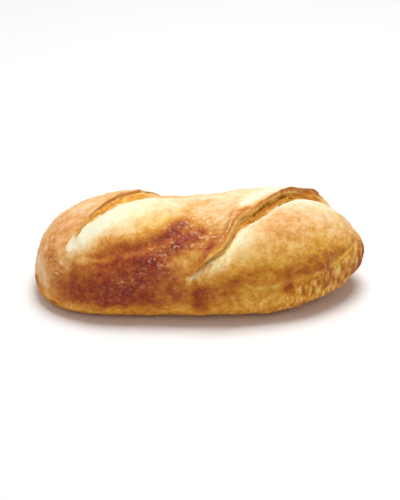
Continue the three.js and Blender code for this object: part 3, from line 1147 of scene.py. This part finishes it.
def direction(azimuth, elevation):
    """Unit vector towards that azimuth, from the front, and that height above the horizon."""
    flat = math.cos(elevation)
    return Vector((math.sin(azimuth) * flat, -math.cos(azimuth) * flat, math.sin(elevation)))


def make_camera(stage):
    data = bpy.data.cameras.new("camera")
    data.lens = stage.lens
    camera = add_object("camera", data)
    towards = direction(stage.azimuth, stage.elevation)
    camera.location = Vector(stage.aim) + towards * stage.distance
    camera.rotation_euler = towards.to_track_quat("Z", "Y").to_euler()
    bpy.context.scene.camera = camera


class Lamp(NamedTuple):
    """Place of a round soft light: its turn and height in degrees, its distance and its width in metres."""

    azimuth: float
    elevation: float
    distance: float
    width: float


TOP_LIGHT = Lamp(150.0, 82.0, 1.2, 0.7)
FRONT_LIGHT = Lamp(-30.0, 40.0, 1.5, 1.0)
WHITE = (1.0, 1.0, 1.0, 1.0)


def make_light(name, lamp, power):
    data = bpy.data.lights.new(name, "AREA")
    data.shape = "DISK"
    data.size = lamp.width
    data.energy = power
    light = add_object(name, data)
    towards = direction(math.radians(lamp.azimuth), math.radians(lamp.elevation))
    light.location = towards * lamp.distance
    light.rotation_euler = towards.to_track_quat("Z", "Y").to_euler()


def light_room(stage):
    world = bpy.data.worlds.new("studio")
    world.use_nodes = True
    background = world.node_tree.nodes["Background"]
    background.inputs["Color"].default_value = WHITE
    background.inputs["Strength"].default_value = stage.room_light
    bpy.context.scene.world = world
    make_light("top_light", TOP_LIGHT, stage.top_power)
    make_light("front_light", FRONT_LIGHT, stage.front_power)


def shade(red, green, blue, name, description):
    """A colour property whose default is given as display values from 0 to 255."""
    default = (red / 255, green / 255, blue / 255)
    return FloatVectorProperty(
        name=name, description=description, default=default, subtype="COLOR_GAMMA", size=3, min=0.0, max=1.0
    )


def number(name, description, default, **kind):
    return FloatProperty(name=name, description=description, default=default, **kind)


class RollSizes(bpy.types.PropertyGroup):
    """Outer sizes of the roll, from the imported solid's box."""

    length: number("Length", "From tip to tip", CAD_SIZE.x, unit="LENGTH")
    width: number("Width", "From front to back", CAD_SIZE.y, unit="LENGTH")
    height: number("Height", "From base to crown", CAD_SIZE.z, unit="LENGTH")


class CrustColours(bpy.types.PropertyGroup):
    """Colours of the crust, from pale to dark, and of the crumb and flour."""

    cream: shade(248, 246, 216, "Cream", "Palest crust, where the dough stretched last")
    straw: shade(250, 223, 172, "Straw", "Pale crust")
    peach: shade(246, 204, 146, "Peach", "Lightly baked crust")
    honey: shade(240, 185, 117, "Honey", "Evenly baked crust")
    gold: shade(222, 157, 74, "Gold", "Well baked crust")
    amber: shade(204, 128, 54, "Amber", "Dark golden crust")
    brown: shade(184, 101, 43, "Brown", "Brown crust")
    russet: shade(165, 74, 38, "Russet", "Red-brown crust")
    maroon: shade(139, 50, 34, "Maroon", "Darkest crust")
    pore: shade(150, 92, 28, "Pore", "Pores of the torn crumb")
    dark_crumb: shade(216, 152, 58, "Dark crumb", "Shaded torn crumb in the cuts")
    crumb: shade(236, 168, 74, "Crumb", "Torn crumb in the cuts")
    strand: shade(250, 208, 124, "Strand", "Pale strands of the torn crumb")
    lip: shade(206, 122, 56, "Lip", "Dark edge of each raised lip")
    flour: shade(251, 226, 186, "Flour", "Flour that dusts the crust")


class StageSettings(bpy.types.PropertyGroup):
    """Camera, lights and floor."""

    azimuth: number("Azimuth", "Camera's turn from the front", math.radians(-0.8), subtype="ANGLE")
    elevation: number("Elevation", "Camera's height above the horizon", math.radians(30.7), subtype="ANGLE")
    distance: number("Distance", "From the camera to its aim", 0.7, unit="LENGTH")
    lens: number("Lens", "Focal length in millimetres", 99.0, unit="CAMERA")
    aim: FloatVectorProperty(
        name="Aim", description="Point that the camera looks at", default=(0.0002, 0.0007, 0.021),
        subtype="TRANSLATION", size=3,
    )
    floor_reach: number("Floor reach", "From the floor's middle to its edge", 4.0, unit="LENGTH")
    floor_colour: shade(250, 250, 250, "Floor", "Plain pale floor")
    room_light: number("Room light", "Strength of the even light all round", 0.3)
    top_power: number("Top light", "Power of the soft light above", 12.0, unit="POWER")
    front_power: number("Front light", "Power of the fill light", 1.5, unit="POWER")


class BREAD_OT_make_roll(bpy.types.Operator):
    """Make the roll, with its opened cuts, its crust and its flour"""

    bl_idname = "bread.make_roll"
    bl_label = "Make roll"

    def execute(self, context):
        scene = context.scene
        mesh = roll_mesh(scene.bread_sizes)
        mesh.materials.append(crust_material(scene.bread_colours))
        roll = add_object("crusty_roll", mesh)
        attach(roll, BODY)
        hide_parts(NODE)
        return {"FINISHED"}


class BREAD_OT_set_stage(bpy.types.Operator):
    """Set the stage: a pale floor, soft studio light and the camera"""

    bl_idname = "bread.set_stage"
    bl_label = "Set stage"

    def execute(self, context):
        stage = context.scene.bread_stage
        make_floor(stage)
        light_room(stage)
        make_camera(stage)
        context.scene.view_settings.view_transform = "Standard"
        return {"FINISHED"}


class VIEW3D_PT_bread(bpy.types.Panel):
    """Sizes, colours and stage of the roll"""

    bl_label = "Crusty bread roll"
    bl_space_type = "VIEW_3D"
    bl_region_type = "UI"
    bl_category = "Bread"

    def draw(self, context):
        scene = context.scene
        for settings, operator in (
            (scene.bread_sizes, "bread.make_roll"),
            (scene.bread_colours, None),
            (scene.bread_stage, "bread.set_stage"),
        ):
            box = self.layout.box()
            for name in settings.__annotations__:
                box.prop(settings, name)
            if operator:
                box.operator(operator)


CLASSES = (RollSizes, CrustColours, StageSettings, BREAD_OT_make_roll, BREAD_OT_set_stage, VIEW3D_PT_bread)


def register():
    for made in CLASSES:
        bpy.utils.register_class(made)
    bpy.types.Scene.bread_sizes = PointerProperty(type=RollSizes)
    bpy.types.Scene.bread_colours = PointerProperty(type=CrustColours)
    bpy.types.Scene.bread_stage = PointerProperty(type=StageSettings)


def unregister():
    del bpy.types.Scene.bread_stage
    del bpy.types.Scene.bread_colours
    del bpy.types.Scene.bread_sizes
    for made in reversed(CLASSES):
        bpy.utils.unregister_class(made)


def main():
    register()
    bpy.ops.bread.set_stage()
    bpy.ops.bread.make_roll()


if __name__ == "__main__":
    main()
